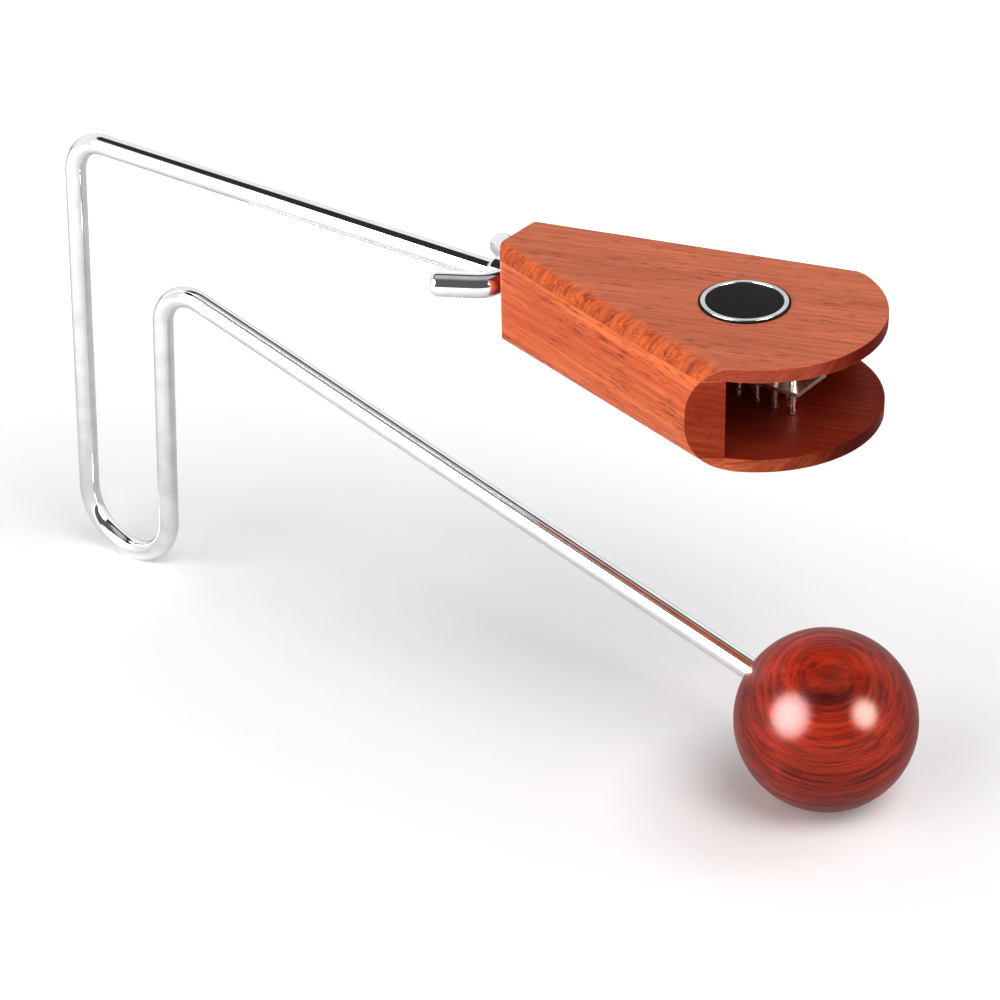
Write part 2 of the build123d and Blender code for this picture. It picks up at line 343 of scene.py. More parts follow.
class VibraslapSettings(PropertyGroup):
    rod: PointerProperty(type=RodSettings, name="Rod", description="Sizes and finish of the rod")
    ball: PointerProperty(type=BallSettings, name="Ball", description="Sizes and finish of the ball")
    box: PointerProperty(type=BoxSettings, name="Sound box", description="Edges and finish of the sound box")
    badge: PointerProperty(type=BadgeSettings, name="Badge", description="Shape and finish of the badge")
    rattle: PointerProperty(type=RattleSettings, name="Rattle", description="Strip and rivets")
    fastening: PointerProperty(
        type=FasteningSettings, name="Fastenings", description="Wing nut, nut and washer"
    )
    stage: PointerProperty(type=StageSettings, name="Stage", description="Camera and floor")


# Node trees


def node(tree, kind, inputs=None, **settings):
    """Adds a node, sets its options, and links or sets its inputs."""
    made = tree.nodes.new(kind)
    for name, value in settings.items():
        setattr(made, name, value)
    for socket, value in (inputs or {}).items():
        if isinstance(value, bpy.types.NodeSocket):
            tree.links.new(value, made.inputs[socket])
        else:
            made.inputs[socket].default_value = value
    return made


def new_finish(name):
    """A material with an empty Principled shader, and its Object coordinates."""
    finish = bpy.data.materials.new(name)
    finish.use_nodes = True
    tree = finish.node_tree
    shader = tree.nodes["Principled BSDF"]
    place = node(tree, "ShaderNodeTexCoord").outputs["Object"]
    return finish, tree, shader, place


def noise(
    tree, place, size, turn=(0, 0, 0), centre=(0, 0, 0), detail=2.0, roughness=0.5, distortion=0.0
):
    """Noise whose features have the given size in metres along the turned axes."""
    mapped = node(
        tree,
        "ShaderNodeMapping",
        {"Vector": place, "Location": centre, "Rotation": turn, "Scale": size},
        vector_type="TEXTURE",
    )
    texture = node(
        tree,
        "ShaderNodeTexNoise",
        {
            "Vector": mapped.outputs["Vector"],
            "Scale": 1.0,
            "Detail": detail,
            "Roughness": roughness,
            "Distortion": distortion,
        },
    )
    return texture.outputs["Fac"]


def spread(tree, value, source, target=WHOLE):
    """Maps one range of numbers onto another, and clamps it."""
    mapped = node(
        tree,
        "ShaderNodeMapRange",
        {
            "Value": value,
            "From Min": source[0],
            "From Max": source[1],
            "To Min": target[0],
            "To Max": target[1],
        },
    )
    return mapped.outputs["Result"]


def calculated(tree, operation, *values):
    made = node(tree, "ShaderNodeMath", dict(enumerate(values)), operation=operation)
    return made.outputs["Value"]


def sum_of(tree, first, second, weight):
    """first + second * weight."""
    return calculated(tree, "MULTIPLY_ADD", second, weight, first)


def product(tree, first, second):
    return calculated(tree, "MULTIPLY", first, second)


def measured(tree, operation, *vectors):
    """A number worked out from vectors."""
    made = node(tree, "ShaderNodeVectorMath", dict(enumerate(vectors)), operation=operation)
    return made.outputs["Value"]


def component(tree, vector, axis):
    return node(tree, "ShaderNodeSeparateXYZ", {0: vector}).outputs[axis]


def mixed(tree, amount, first, second, blend="MIX"):
    """One colour laid over another."""
    made = node(tree, "ShaderNodeMix", data_type="RGBA", blend_type=blend)
    for socket, value in ((0, amount), (6, first), (7, second)):
        if isinstance(value, bpy.types.NodeSocket):
            tree.links.new(value, made.inputs[socket])
        else:
            made.inputs[socket].default_value = value
    return made.outputs[2]


def opaque(tone):
    return (*tone, 1.0)


def bump(tree, shader, height, strength, depth):
    made = node(tree, "ShaderNodeBump", {"Height": height, "Strength": strength, "Distance": depth})
    tree.links.new(made.outputs["Normal"], shader.inputs["Normal"])


def grain_turn(fibre, layer_normal):
    """Angles that lay a texture's X along the fibres and its Y across the growth layers."""
    along = Vector(fibre).normalized()
    flat = Vector(layer_normal)
    across = (flat - along * flat.dot(along)).normalized()
    return Matrix((along, across, along.cross(across))).transposed().to_euler()


def hardwood(
    name,
    tones,
    pore,
    end_grain_and_shade_tone,
    fibre,
    layer_normal,
    centre,
    layer,
    figure=None,
    outside=None,
    painted_edge_shade=None,
    shine=WOOD_SHINE,
):
    """Tropical hardwood: growth layers, fine fibres, short dark pores and darker end grain.

    figure: light and dark tones of the curl where the board is rounded.
    outside: light and dark tones of the faces that turn away from the box, and where they fade out.
    edge tone: darkening of the upright faces, painted shade where they turn from the light.
    """
    finish, tree, shader, place = new_finish(name)
    light, dark = (opaque(tone) for tone in tones)
    turn = grain_turn(fibre, layer_normal)
    drift = noise(tree, place, DRIFT_GRAIN, turn, centre, detail=2.0, distortion=0.3)
    layer_grain = (LAYER_RUN, layer, layer * LAYER_BREADTH)
    layers = noise(tree, place, layer_grain, turn, centre, detail=3.0, roughness=0.6, distortion=0.25)
    streaks = noise(tree, place, STREAK_GRAIN, turn, centre, detail=2.0)
    fibres = noise(tree, place, FIBRE_GRAIN, turn, centre, detail=2.0)
    vessels = noise(tree, place, VESSEL_GRAIN, turn, centre, detail=1.0)
    groups = noise(tree, place, GROUP_GRAIN, turn, centre, detail=1.0)
    layered = spread(tree, layers, LAYER_NOISE, (0.0, LAYER_SHARE))
    depth = sum_of(tree, layered, spread(tree, drift, MIDDLE_NOISE), DRIFT_SHARE)
    body = mixed(tree, depth, dark, light)
    normal = node(tree, "ShaderNodeTexCoord").outputs["Normal"]
    rise = component(tree, normal, "Z")
    facing = measured(tree, "DOT_PRODUCT", normal, Vector(fibre).normalized())
    cut = calculated(tree, "ABSOLUTE", facing)
    if figure:
        across = grain_turn(FIGURE_FALL, FIGURE_RUN)
        strokes = noise(
            tree, place, STROKE_GRAIN, across, centre, detail=4.0, roughness=0.62, distortion=1.1
        )
        bright, deep = (opaque(tone) for tone in figure)
        curl = mixed(tree, spread(tree, strokes, STROKE_NOISE), deep, bright)
        ragged = sum_of(tree, cut, strokes, STROKE_RAGGED)
        rounded = spread(tree, ragged, ROUNDED_FACES, (0.0, ROUNDED_FIGURE))
        body = mixed(tree, product(tree, rounded, spread(tree, rise, UPWARD_FACES)), body, curl)
    # Outer faces take their own tones; elsewhere the board keeps its given tones, which on the lower plate
    # are painted shade
    if outside:
        pair, fade = outside
        paler, deeper = (opaque(tone) for tone in pair)
        below = spread(tree, rise, OUTER_FACES, FADING)
        beside = spread(tree, component(tree, place, "X"), fade, FADING)
        body = mixed(tree, product(tree, below, beside), body, mixed(tree, depth, deeper, paler))
    fibred = mixed(tree, spread(tree, fibres, MIDDLE_NOISE, (0.0, FIBRE_TINT)), body, dark)
    lined = mixed(tree, spread(tree, streaks, STREAK_NOISE, (0.0, STREAK_TINT)), fibred, dark)
    grouped = sum_of(tree, vessels, groups, GROUP_SHARE)
    pores = spread(tree, grouped, PORE_NOISE, (0.0, PORE_TINT))
    pored = mixed(tree, pores, lined, opaque(pore))
    # End grain takes the end tone; on the box that tone is partly real end grain and partly painted shade
    sawn = mixed(tree, 1.0, pored, opaque(end_grain_and_shade_tone), "MULTIPLY")
    speckles = spread(tree, vessels, SPECKLE_NOISE, (0.0, SPECKLE_TINT))
    speckled = mixed(tree, speckles, sawn, opaque(pore))
    whole = mixed(tree, spread(tree, cut, END_GRAIN_FACES), pored, speckled)
    # Upright faces are darkened: painted shade
    if painted_edge_shade:
        upright = spread(tree, calculated(tree, "ABSOLUTE", rise), PAINTED_SHADE_UPRIGHT_FACES, FADING)
        whole = mixed(tree, upright, whole, opaque(painted_edge_shade), "MULTIPLY")
    tree.links.new(whole, shader.inputs["Base Color"])
    tree.links.new(spread(tree, fibres, MIDDLE_NOISE, WOOD_ROUGHNESS), shader.inputs["Roughness"])
    shader.inputs["Specular IOR Level"].default_value = shine
    ridges = spread(tree, fibres, FIBRE_RELIEF_NOISE, (0.0, FIBRE_RELIEF))
    bump(tree, shader, sum_of(tree, ridges, pores, -1.0), WOOD_BUMP, PORE_DEPTH)
    return finish


def lacquer(finish, weight, roughness):
    """A clear coat over a wood."""
    shader = finish.node_tree.nodes["Principled BSDF"]
    shader.inputs["Coat Weight"].default_value = weight
    shader.inputs["Coat Roughness"].default_value = roughness


def metal(name, tone, roughness, speck, relief, streak=ALL_ROUND):
    """Plated or bare steel: slow haze in the polish, and fine marks drawn out along one axis."""
    finish, tree, shader, place = new_finish(name)
    haze = noise(tree, place, (speck * HAZE_SIZE,) * 3, detail=3.0)
    marks = noise(tree, place, tuple(speck * stretch for stretch in streak), detail=2.0)
    dulled = opaque([part * DULLED for part in tone])
    hazed = mixed(tree, spread(tree, haze, HAZE_NOISE), opaque(tone), dulled)
    tree.links.new(hazed, shader.inputs["Base Color"])
    worn = sum_of(tree, haze, marks, MARK_SHARE)
    tree.links.new(spread(tree, worn, WORN_NOISE, roughness), shader.inputs["Roughness"])
    shader.inputs["Metallic"].default_value = 1.0
    bump(tree, shader, marks, relief, MARK_DEPTH)
    return finish


def enamel(name, tone):
    """Dark fired enamel with a slight orange-peel skin."""
    finish, tree, shader, place = new_finish(name)
    skin = noise(tree, place, (SKIN_SIZE,) * 3, detail=3.0)
    dust = noise(tree, place, (DUST_SIZE,) * 3, detail=1.0)
    lifted = opaque([part * DUST_TINT for part in tone])
    dusted = mixed(tree, spread(tree, dust, DUST_NOISE), opaque(tone), lifted)
    tree.links.new(dusted, shader.inputs["Base Color"])
    tree.links.new(spread(tree, skin, MIDDLE_NOISE, ENAMEL_ROUGHNESS), shader.inputs["Roughness"])
    shader.inputs["Specular IOR Level"].default_value = ENAMEL_SHINE
    bump(tree, shader, skin, ENAMEL_BUMP, SKIN_DEPTH)
    return finish


# Meshes


def of_kind(parts, kind):
    return [part for part in parts if isinstance(part, kind)]


def ring_ends(ring):
    return list(dict.fromkeys(vert for edge in ring for vert in edge.verts))


def first_ring(mesh, radius, facing):
    """The closed round end that a tube starts from."""
    made = bmesh.ops.create_circle(
        mesh, cap_ends=True, segments=TUBE_SIDES, radius=radius, matrix=facing
    )
    return list(dict.fromkeys(edge for vert in made["verts"] for edge in vert.link_edges))


def run_on(mesh, ring, move, widen=1.0, centre=None):
    """Lengthens an open tube by one straight run from its last ring."""
    made = bmesh.ops.extrude_edge_only(mesh, edges=ring)["geom"]
    verts = of_kind(made, bmesh.types.BMVert)
    bmesh.ops.translate(mesh, vec=move, verts=verts)
    if widen != 1.0:
        home = Matrix.Translation(-Vector(centre) - Vector(move))
        bmesh.ops.scale(mesh, vec=(widen,) * 3, space=home, verts=verts)
    fresh = set(verts)
    return [edge for edge in of_kind(made, bmesh.types.BMEdge) if fresh.issuperset(edge.verts)]


def straight_on(mesh, ring, move):
    """A long straight run with a ring close to each end, so that it is shaded evenly."""
    short = move.normalized() * RING_MARGIN
    ring = run_on(mesh, ring, short)
    ring = run_on(mesh, ring, move - short * 2)
    return run_on(mesh, ring, short)


def bend_on(mesh, ring, centre, axis, turn, steps=BEND_STEPS):
    """Carries an open tube round a bend from its last ring."""
    made = bmesh.ops.spin(
        mesh, geom=ring + ring_ends(ring), cent=centre, axis=axis, dvec=(0, 0, 0), angle=turn, steps=steps
    )
    return of_kind(made["geom_last"], bmesh.types.BMEdge)


def close_ring(mesh, ring):
    bmesh.ops.edgeloop_fill(mesh, edges=ring)


def chain(mesh, points, after=None):
    """An open run of edges through a few profile points, carried on from a point already there."""
    verts = [mesh.verts.new(point) for point in points]
    run = [after, *verts] if after else verts
    for first, second in zip(run, run[1:]):
        mesh.edges.new((first, second))
    return verts


def arc_on(mesh, vert, centre, turn, steps, axis=(0, 1, 0)):
    """Carries a profile on round an arc from its last point."""
    made = bmesh.ops.spin(mesh, geom=[vert], cent=centre, axis=axis, dvec=(0, 0, 0), angle=turn, steps=steps)
    return of_kind(made["geom_last"], bmesh.types.BMVert)[0]


def turn_profile(mesh, sides):
    """Turns the profile in the mesh a full round about the Z axis, and closes its seam and poles."""
    bmesh.ops.spin(
        mesh,
        geom=mesh.verts[:] + mesh.edges[:],
        cent=(0, 0, 0),
        axis=(0, 0, 1),
        dvec=(0, 0, 0),
        angle=FULL_TURN,
        steps=sides,
        use_merge=True,
    )
    bmesh.ops.remove_doubles(mesh, verts=mesh.verts, dist=MERGE_DISTANCE)
    loose = [edge for edge in mesh.edges if not edge.link_faces]
    bmesh.ops.delete(mesh, geom=loose, context="EDGES")
    bmesh.ops.recalc_face_normals(mesh, faces=mesh.faces)


def broken_edges(node_name, rounding, segments=3):
    """A merged copy of a CAD node whose sharp edges are rounded."""
    mesh = bmesh.new()
    mesh.from_mesh(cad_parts[node_name].data)
    bmesh.ops.remove_doubles(mesh, verts=mesh.verts, dist=MERGE_DISTANCE)
    bmesh.ops.dissolve_limit(mesh, angle_limit=FLAT_ANGLE, verts=mesh.verts, edges=mesh.edges)
    sharp = [edge for edge in mesh.edges if edge.is_manifold and edge.calc_face_angle() > EDGE_ANGLE]
    bmesh.ops.bevel(
        mesh,
        geom=sharp,
        offset=rounding,
        offset_type="OFFSET",
        affect="EDGES",
        segments=segments,
        profile=0.5,
        material=-1,
        clamp_overlap=True,
    )
    return mesh


def set_piece(mesh, name, finish, body, nodes, weighted=False):
    """Makes an object of a finished mesh, and sets it on its body in place of its CAD nodes."""
    if not mesh.faces:
        raise RuntimeError(f"{name} has no faces")
    for face in mesh.faces:
        face.smooth = True
    for edge in mesh.edges:
        edge.smooth = not (edge.is_manifold and edge.calc_face_angle() > SMOOTH_ANGLE)
    data = bpy.data.meshes.new(name)
    mesh.to_mesh(data)
    mesh.free()
    data.materials.append(finish)
    piece = bpy.data.objects.new(name, data)
    bpy.context.scene.collection.objects.link(piece)
    if weighted:
        shading = piece.modifiers.new("Even shading", "WEIGHTED_NORMAL")
        shading.keep_sharp = True
    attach(piece, body)
    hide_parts(*nodes)
    return piece


# Pieces


class VIBRASLAP_OT_rod(Operator):
    """Bend the rod: threaded end, upper arm, outer leg, handle bend, inner leg and lower arm"""

    bl_idname = "vibraslap.rod"
    bl_label = "Bent rod"

    def execute(self, context):
        rod = context.scene.vibraslap.rod
        radius = rod.diameter / 2
        down = Vector((-math.sin(rod.lean), 0, -math.cos(rod.lean)))
        across = Vector((math.cos(rod.lean), 0, -math.sin(rod.lean)))
        arm = Vector((math.cos(rod.drop), 0, -math.sin(rod.drop)))
        upper_turn = math.radians(90) - rod.lean
        lower_turn = upper_turn + rod.drop
        upper_trim = rod.corner_radius * math.tan(upper_turn / 2)
        lower_trim = rod.corner_radius * math.tan(lower_turn / 2)
        upper_corner = -down * (rod.outer_leg / 2)
        handle_start = down * (rod.outer_leg / 2)
        handle_centre = handle_start + across * rod.handle_radius
        rod_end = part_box("clamp_nut")[1].x + rod.stand_out

        mesh = bmesh.new()
        start = Vector((rod_end, 0, ARM_HEIGHT))
        facing = Matrix.Translation(start) @ Matrix.Rotation(math.radians(90), 4, "Y")
        ring = first_ring(mesh, radius - rod.end_chamfer, facing)
        back = Vector((-1, 0, 0))
        here = start.copy()

        def step(ring, here, reach, widen):
            ring = run_on(mesh, ring, back * reach, widen, here)
            return ring, here + back * reach

        ring, here = step(ring, here, rod.end_chamfer, radius / (radius - rod.end_chamfer))
        groove = (radius - rod.thread_depth) / radius
        for _ in range(round(rod.threaded / rod.thread_pitch)):
            ring, here = step(ring, here, rod.thread_pitch / 2, groove)
            ring, here = step(ring, here, rod.thread_pitch / 2, 1 / groove)
        bend_start = Vector((upper_corner.x + upper_trim, 0, ARM_HEIGHT))
        ring = straight_on(mesh, ring, bend_start - here)
        ring = bend_on(mesh, ring, bend_start - Vector((0, 0, rod.corner_radius)), (0, 1, 0), -upper_turn)
        ring = straight_on(mesh, ring, down * (rod.outer_leg - upper_trim))
        ring = bend_on(mesh, ring, handle_centre, (0, 1, 0), -math.pi, BEND_STEPS * 2)
        ring = straight_on(mesh, ring, -down * (rod.inner_leg - lower_trim))
        lower_start = handle_start + across * (2 * rod.handle_radius) - down * (rod.inner_leg - lower_trim)
        ring = bend_on(mesh, ring, lower_start + across * rod.corner_radius, (0, 1, 0), lower_turn)
        ring = straight_on(mesh, ring, arm * (rod.lower_arm - lower_trim - BALL_RADIUS + rod.depth_in_ball))
        close_ring(mesh, ring)
        bmesh.ops.recalc_face_normals(mesh, faces=mesh.faces)
        bright = metal("Bright plating", rod.polish, roughness=(0.035, 0.10), speck=0.0009, relief=0.003)
        set_piece(mesh, "bent_rod", bright, "frame", ["steel_rod"])
        return {"FINISHED"}


class VIBRASLAP_OT_ball(Operator):
    """Turn the striking ball with its bore, in lacquered hardwood"""

    bl_idname = "vibraslap.ball"
    bl_label = "Striking ball"

    def execute(self, context):
        settings = context.scene.vibraslap
        rod, ball = settings.rod, settings.ball
        bore = rod.diameter / 2 + ball.bore_clearance
        lip = bore + ball.countersink
        lip_angle = math.asin(lip / BALL_RADIUS)
        lip_height = -BALL_RADIUS * math.cos(lip_angle)
        bottom = rod.depth_in_ball - BALL_RADIUS + ball.countersink
        mesh = bmesh.new()
        points = chain(
            mesh,
            [
                (0, 0, bottom),
                (bore, 0, bottom),
                (bore, 0, lip_height + ball.countersink),
                (lip, 0, lip_height),
            ],
        )
        arc_on(mesh, points[-1], (0, 0, 0), lip_angle - math.pi, TURNED_SIDES // 2)
        turn_profile(mesh, TURNED_SIDES)
        arm = Vector((math.cos(rod.drop), 0, -math.sin(rod.drop)))
        upright = Matrix.Translation(BALL_CENTRE) @ arm.to_track_quat("Z", "Y").to_matrix().to_4x4()
        bmesh.ops.transform(mesh, matrix=upright, verts=mesh.verts)
        finish = hardwood(
            "Ball wood",
            (ball.light, ball.dark),
            settings.box.pore,
            ball.end_grain_and_shade_tone,
            fibre=BALL_FIBRE,
            layer_normal=BALL_LAYERS,
            centre=BALL_CENTRE,
            layer=BALL_LAYER,
            shine=BALL_SHINE,
        )
        lacquer(finish, weight=0.24, roughness=0.17)
        set_piece(mesh, "striking_ball", finish, "frame", ["ball"])
        return {"FINISHED"}


class VIBRASLAP_OT_plates(Operator):
    """Finish the two plates of the sound box"""

    bl_idname = "vibraslap.plates"
    bl_label = "Plates"

    def execute(self, context):
        box = context.scene.vibraslap.box
        upper = (box.plate_light, box.plate_dark)
        # The lower plate takes darkened tones, painted shade inside the box; only its outer faces keep the
        # walls' tones
        lower = (box.inner_light_painted_shade, box.inner_dark_painted_shade)
        figure = (box.figure_light, box.figure_dark)
        wall_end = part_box("right_wall")[1].x
        # Past the walls' end the outer faces fade into the darkened tones: painted shade on the lower tongue
        outer = ((box.wall_light, box.wall_dark), (wall_end - box.outer_lead, wall_end + box.outer_fade))
        # The top board's upright faces are darkened: painted shade
        for name, node_name, tones, edge, outside, painted_edge_shade in (
            ("top_board", "top_plate", upper, figure, None, box.painted_edge_shade),
            ("bottom_board", "bottom_plate", lower, None, outer, None),
        ):
            finish = hardwood(
                f"Plate wood, {node_name}",
                tones,
                box.pore,
                box.end_grain_and_shade_tone,
                fibre=PLATE_FIBRE,
                layer_normal=PLATE_LAYERS,
                centre=middle(node_name),
                layer=PLATE_LAYER,
                figure=edge,
                outside=outside,
                painted_edge_shade=painted_edge_shade,
            )
            mesh = broken_edges(node_name, box.board_round)
            set_piece(mesh, name, finish, "box", [node_name], weighted=True)
        return {"FINISHED"}


class VIBRASLAP_OT_walls(Operator):
    """Finish the side walls and the end block of the sound box"""

    bl_idname = "vibraslap.walls"
    bl_label = "Walls and end block"

    def execute(self, context):
        box = context.scene.vibraslap.box
        along, outwards, upwards = WALL_FIBRE
        for name, node_name, side in (
            ("right_side", "right_wall", -1.0),
            ("left_side", "left_wall", 1.0),
            ("neck_block", "end_block", 0.0),
        ):
            finish = hardwood(
                f"Wall wood, {node_name}",
                (box.wall_light, box.wall_dark),
                box.pore,
                box.end_grain_and_shade_tone,
                fibre=(along, outwards * side, upwards),
                layer_normal=WALL_LAYERS,
                centre=middle(node_name),
                layer=WALL_LAYER,
            )
            mesh = broken_edges(node_name, box.seam_round)
            set_piece(mesh, name, finish, "box", [node_name], weighted=True)
        return {"FINISHED"}


class VIBRASLAP_OT_badge(Operator):
    """Set the dark disc and its bright ring on the top plate"""

    bl_idname = "vibraslap.badge"
    bl_label = "Badge"

    def execute(self, context):
        badge = context.scene.vibraslap.badge
        disc_low, disc_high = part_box("badge_disc")
        ring_low, ring_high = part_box("badge_ring")
        rim = (disc_high.x - disc_low.x) / 2
        outer = (ring_high.x - ring_low.x) / 2
        inner = outer - badge.ring_width
        height = disc_high.z - disc_low.z
        fillet = badge.edge_round
        seat = Vector((middle("badge_disc").x, middle("badge_disc").y, disc_low.z))

        mesh = bmesh.new()
        side = chain(mesh, [(0, 0, 0), (rim, 0, 0), (rim, 0, height - fillet)])
        shoulder = arc_on(mesh, side[-1], (rim - fillet, 0, height - fillet), -QUARTER_TURN, ROUND_STEPS)
        halfway = (inner / 2, 0, height + badge.dome * HALFWAY_RISE)
        chain(mesh, [(inner, 0, height), halfway, (0, 0, height + badge.dome)], shoulder)
        turn_profile(mesh, TURNED_SIDES)
        bmesh.ops.translate(mesh, vec=seat, verts=mesh.verts)
        black = enamel("Badge enamel", badge.enamel)
        set_piece(mesh, "badge_face", black, "box", ["badge_disc"])

        top = ring_high.z - disc_low.z
        mesh = bmesh.new()
        side = chain(mesh, [(inner, 0, height), (outer, 0, height), (outer, 0, top - fillet)])
        shoulder = arc_on(mesh, side[-1], (outer - fillet, 0, top - fillet), -QUARTER_TURN, ROUND_STEPS)
        across = chain(mesh, [(inner + fillet, 0, top)], shoulder)
        within = arc_on(mesh, across[-1], (inner + fillet, 0, top - fillet), -QUARTER_TURN, ROUND_STEPS)
        mesh.edges.new((within, side[0]))
        turn_profile(mesh, TURNED_SIDES)
        bmesh.ops.translate(mesh, vec=seat, verts=mesh.verts)
        silver = metal("Badge silver", badge.silver, roughness=(0.14, 0.34), speck=0.0006, relief=0.03)
        set_piece(mesh, "badge_rim", silver, "box", ["badge_ring"])
        return {"FINISHED"}


class VIBRASLAP_OT_rattle(Operator):
    """Finish the spring strip and head up the loose rivets"""

    bl_idname = "vibraslap.rattle"
    bl_label = "Strip and rivets"

    def execute(self, context):
        rattle = context.scene.vibraslap.rattle
        brushed = metal(
            "Spring strip",
            rattle.strip,
            roughness=(0.22, 0.42),
            speck=0.0004,
            relief=0.06,
            streak=BRUSHED_ALONG,
        )
        mesh = broken_edges("rivet_strip", rattle.strip_round, segments=2)
        set_piece(mesh, "rattle_strip", brushed, "box", ["rivet_strip"], weighted=True)

        steel = metal("Rivet steel", rattle.rivet, roughness=(0.16, 0.36), speck=0.0005, relief=0.05)
        shank = rattle.shank / 2
        for name in RIVETS:
            low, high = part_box(name)
            head = (high.x - low.x) / 2
            top = high.z - low.z
            neck = top - rattle.head_height
            mesh = bmesh.new()
            points = chain(
                mesh,
                [
                    (0, 0, 0),
                    (shank - rattle.foot_chamfer, 0, 0),
                    (shank, 0, rattle.foot_chamfer),
                    (shank, 0, neck),
                    (head - rattle.foot_chamfer, 0, neck),
                    (head, 0, neck + rattle.foot_chamfer),
                    (head, 0, top - rattle.head_round),
                ],
            )
            crown = (head - rattle.head_round, 0, top - rattle.head_round)
            edge = arc_on(mesh, points[-1], crown, -QUARTER_TURN, ROUND_STEPS)
            chain(mesh, [(0, 0, top)], edge)
            turn_profile(mesh, RIVET_SIDES)
            seat = Vector((middle(name).x, middle(name).y, low.z))
            bmesh.ops.translate(mesh, vec=seat, verts=mesh.verts)
            set_piece(mesh, f"loose_{name}", steel, name, [name])
        return {"FINISHED"}


class VIBRASLAP_OT_wing_nut(Operator):
    """Shape the wing nut: a hub rounded at its back and two bent bars with rounded ends"""

    bl_idname = "vibraslap.wing_nut"
    bl_label = "Wing nut"

    def execute(self, context):
        settings = context.scene.vibraslap
        nut = settings.fastening
        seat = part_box("wing_nut")[1].x
        bore = settings.rod.diameter / 2 + nut.hub_clearance
        outer = bore + nut.hub_wall
        half = nut.hub_length / 2
        mesh = bmesh.new()
        back = chain(mesh, [(bore, 0, -half), (outer - nut.hub_round, 0, -half)])
        round_centre = (outer - nut.hub_round, 0, nut.hub_round - half)
        shoulder = arc_on(mesh, back[-1], round_centre, -QUARTER_TURN, ROUND_STEPS)
        front = chain(
            mesh,
            [(outer, 0, half - nut.hub_chamfer), (outer - nut.hub_chamfer, 0, half), (bore, 0, half)],
            shoulder,
        )
        mesh.edges.new((front[-1], back[0]))
        turn_profile(mesh, TUBE_SIDES)
        hub_centre = Vector((seat - half, middle("wing_nut").y, ARM_HEIGHT))
        upright = Matrix.Translation(hub_centre) @ Matrix.Rotation(math.radians(90), 4, "Y")
        bmesh.ops.transform(mesh, matrix=upright, verts=mesh.verts)

        radius = nut.bar_diameter / 2
        straight = nut.bar_length - nut.end_round
        for side in (-1, 1):
            out = Vector((0, side, 0))
            root = hub_centre + out * nut.bar_start
            facing = Matrix.Translation(root) @ Matrix.Rotation(math.radians(-90 * side), 4, "X")
            ring = first_ring(mesh, radius, facing)
            ring = run_on(mesh, ring, out * (nut.root_length - nut.bar_start))
            bend_centre = hub_centre + out * nut.root_length - Vector((nut.bend_radius, 0, 0))
            ring = bend_on(mesh, ring, bend_centre, (0, 0, 1), side * nut.sweep)
            along = Vector((-math.sin(nut.sweep), side * math.cos(nut.sweep), 0))
            ring = straight_on(mesh, ring, along * straight)
            turned = Vector((math.cos(nut.sweep), side * math.sin(nut.sweep), 0))
            here = bend_centre + turned * nut.bend_radius + along * straight
            width, reach = radius, 0.0
            for number in range(1, ROUND_STEPS + 1):
                turn = QUARTER_TURN * number / ROUND_STEPS
                narrowed = radius - nut.end_round * (1 - math.cos(turn))
                move = along * (nut.end_round * math.sin(turn) - reach)
                ring = run_on(mesh, ring, move, narrowed / width, here)
                here = here + move
                width, reach = narrowed, nut.end_round * math.sin(turn)
            close_ring(mesh, ring)
        bmesh.ops.recalc_face_normals(mesh, faces=mesh.faces)
        bright = bpy.data.materials["Bright plating"]
        set_piece(mesh, "wing_nut_bars", bright, "wing", ["wing_nut"], weighted=True)
        return {"FINISHED"}


class VIBRASLAP_OT_fastenings(Operator):
    """Finish the nut and washer inside the box"""

    bl_idname = "vibraslap.fastenings"
    bl_label = "Nut and washer"

    def execute(self, context):
        nut = context.scene.vibraslap.fastening
        zinc = metal("Zinc plating", nut.zinc, roughness=(0.24, 0.45), speck=0.0007, relief=0.05)
        for name, node_name in (("inner_nut", "clamp_nut"), ("inner_washer", "lock_washer")):
            mesh = broken_edges(node_name, nut.nut_round)
            set_piece(mesh, name, zinc, "frame", [node_name], weighted=True)
        return {"FINISHED"}


# Stage


def add_lamp(name, direction, width, depth, power):
    """A soft lamp that faces the object; polished surfaces see the glow in the surround in its place."""
    lamp = bpy.data.lights.new(name, "AREA")
    lamp.shape = "ELLIPSE"
    lamp.size = width
    lamp.size_y = depth
    lamp.energy = power
    held = bpy.data.objects.new(name, lamp)
    aim = Vector(LAMP_AIM)
    held.location = aim + Vector(direction).normalized() * LAMP_REACH
    held.rotation_euler = (aim - held.location).to_track_quat("-Z", "Y").to_euler()
    held.visible_glossy = False
    bpy.context.scene.collection.objects.link(held)


def seen_rays(tree):
    """1 for rays from the camera, mirrors and glass and 0 for others, and 1 for mirrors alone."""
    rays = node(tree, "ShaderNodeLightPath").outputs
    either = calculated(tree, "MAXIMUM", rays["Is Camera Ray"], rays["Is Glossy Ray"])
    return calculated(tree, "MAXIMUM", either, rays["Is Transmission Ray"]), rays["Is Glossy Ray"]


